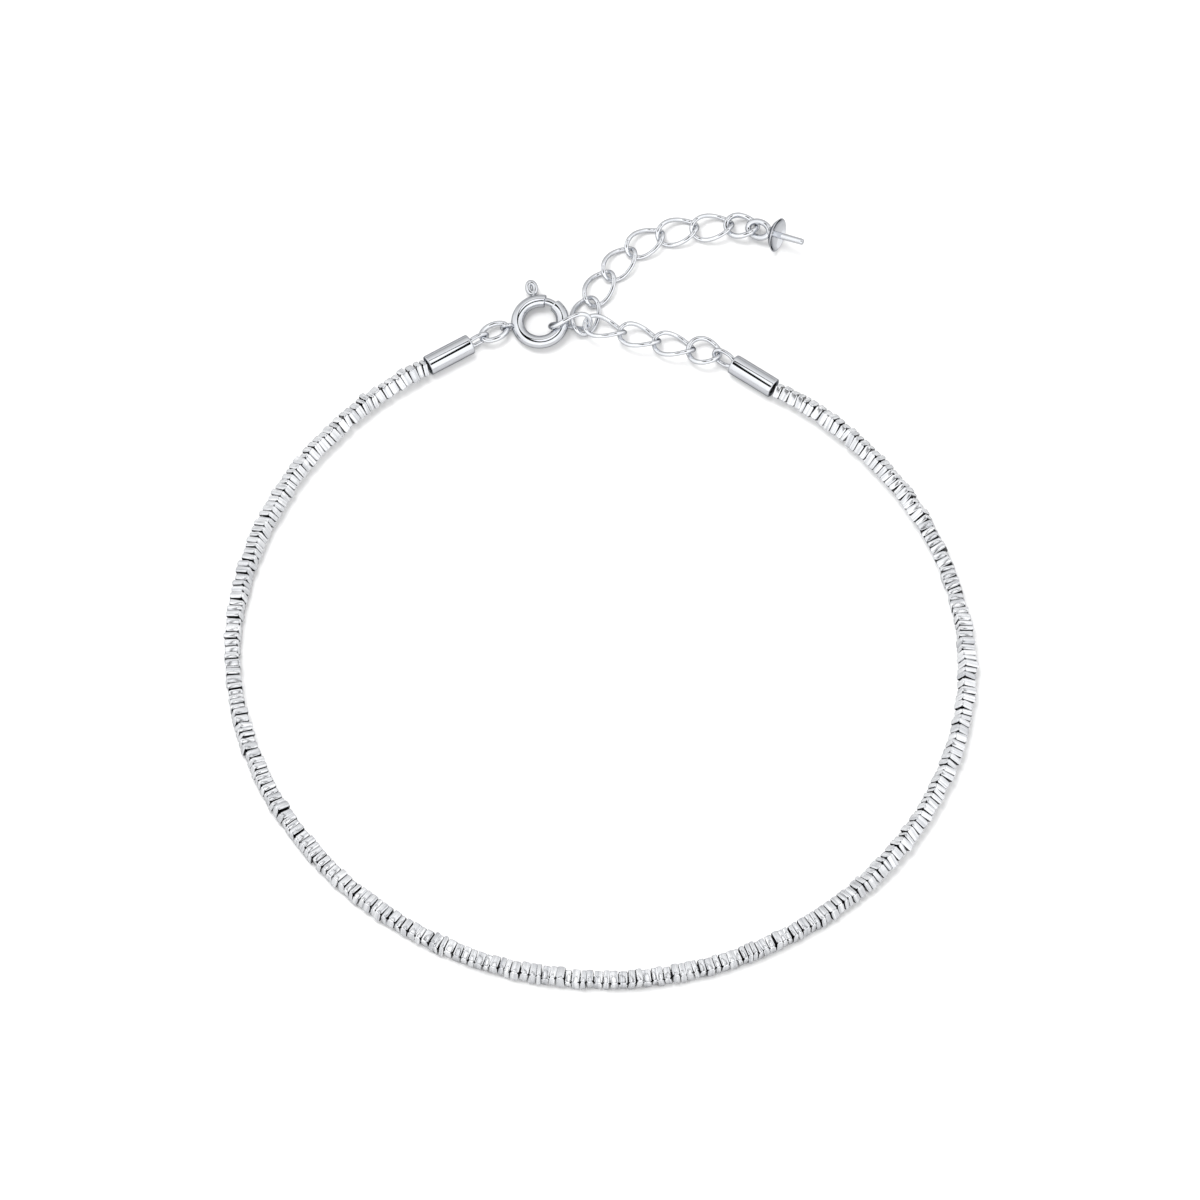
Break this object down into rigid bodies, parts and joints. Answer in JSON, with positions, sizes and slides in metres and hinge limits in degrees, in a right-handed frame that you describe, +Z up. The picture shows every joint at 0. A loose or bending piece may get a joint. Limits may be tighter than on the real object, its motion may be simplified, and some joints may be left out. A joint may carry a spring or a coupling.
{
  "type": "bracelet",
  "caption": "Silver bracelet of thin square beads on a thread, with tubular end caps, a spring ring clasp and an extender chain ending in a pearl cup, lying closed.",
  "frame": {"origin": "middle of the bracelet's box, on the surface that it lies on", "axes": "+X across the loop, +Y from the loop's middle towards the clasp, +Z up from the surface"},
  "size_m": [0.0642, 0.072, 0.0029],
  "materials": {
    "bead_silver": "hammered and polished silver",
    "bright_silver": "mirror polished silver"
  },
  "bodies": {
    "bracelet": {"bead_string": "bead_silver", "end_cap_left": "bright_silver", "end_cap_right": "bright_silver", "jump_ring": "bright_silver", "clasp_ring": "bright_silver", "chain_ring_cap": "bright_silver", "link_01": "bright_silver", "link_02": "bright_silver", "link_03": "bright_silver", "link_04": "bright_silver", "link_05": "bright_silver", "link_06": "bright_silver", "link_07": "bright_silver", "link_08": "bright_silver", "link_09": "bright_silver", "link_10": "bright_silver", "chain_ring_cup": "bright_silver", "pearl_cup": "bright_silver"},
    "trigger": {"clasp_trigger": "bright_silver"}
  },
  "joints": [
    {"name": "tongue_slide", "type": "hinge", "parent": "bracelet", "child": "trigger", "pos_m": [-0.00514, 0.02582, 0.00084], "axis": [-0.0785, 0, 0.9969], "range_deg": [0, 36], "stiffness_Nm_per_rad": 0.0002, "springref_deg": -11.46}
  ]
}
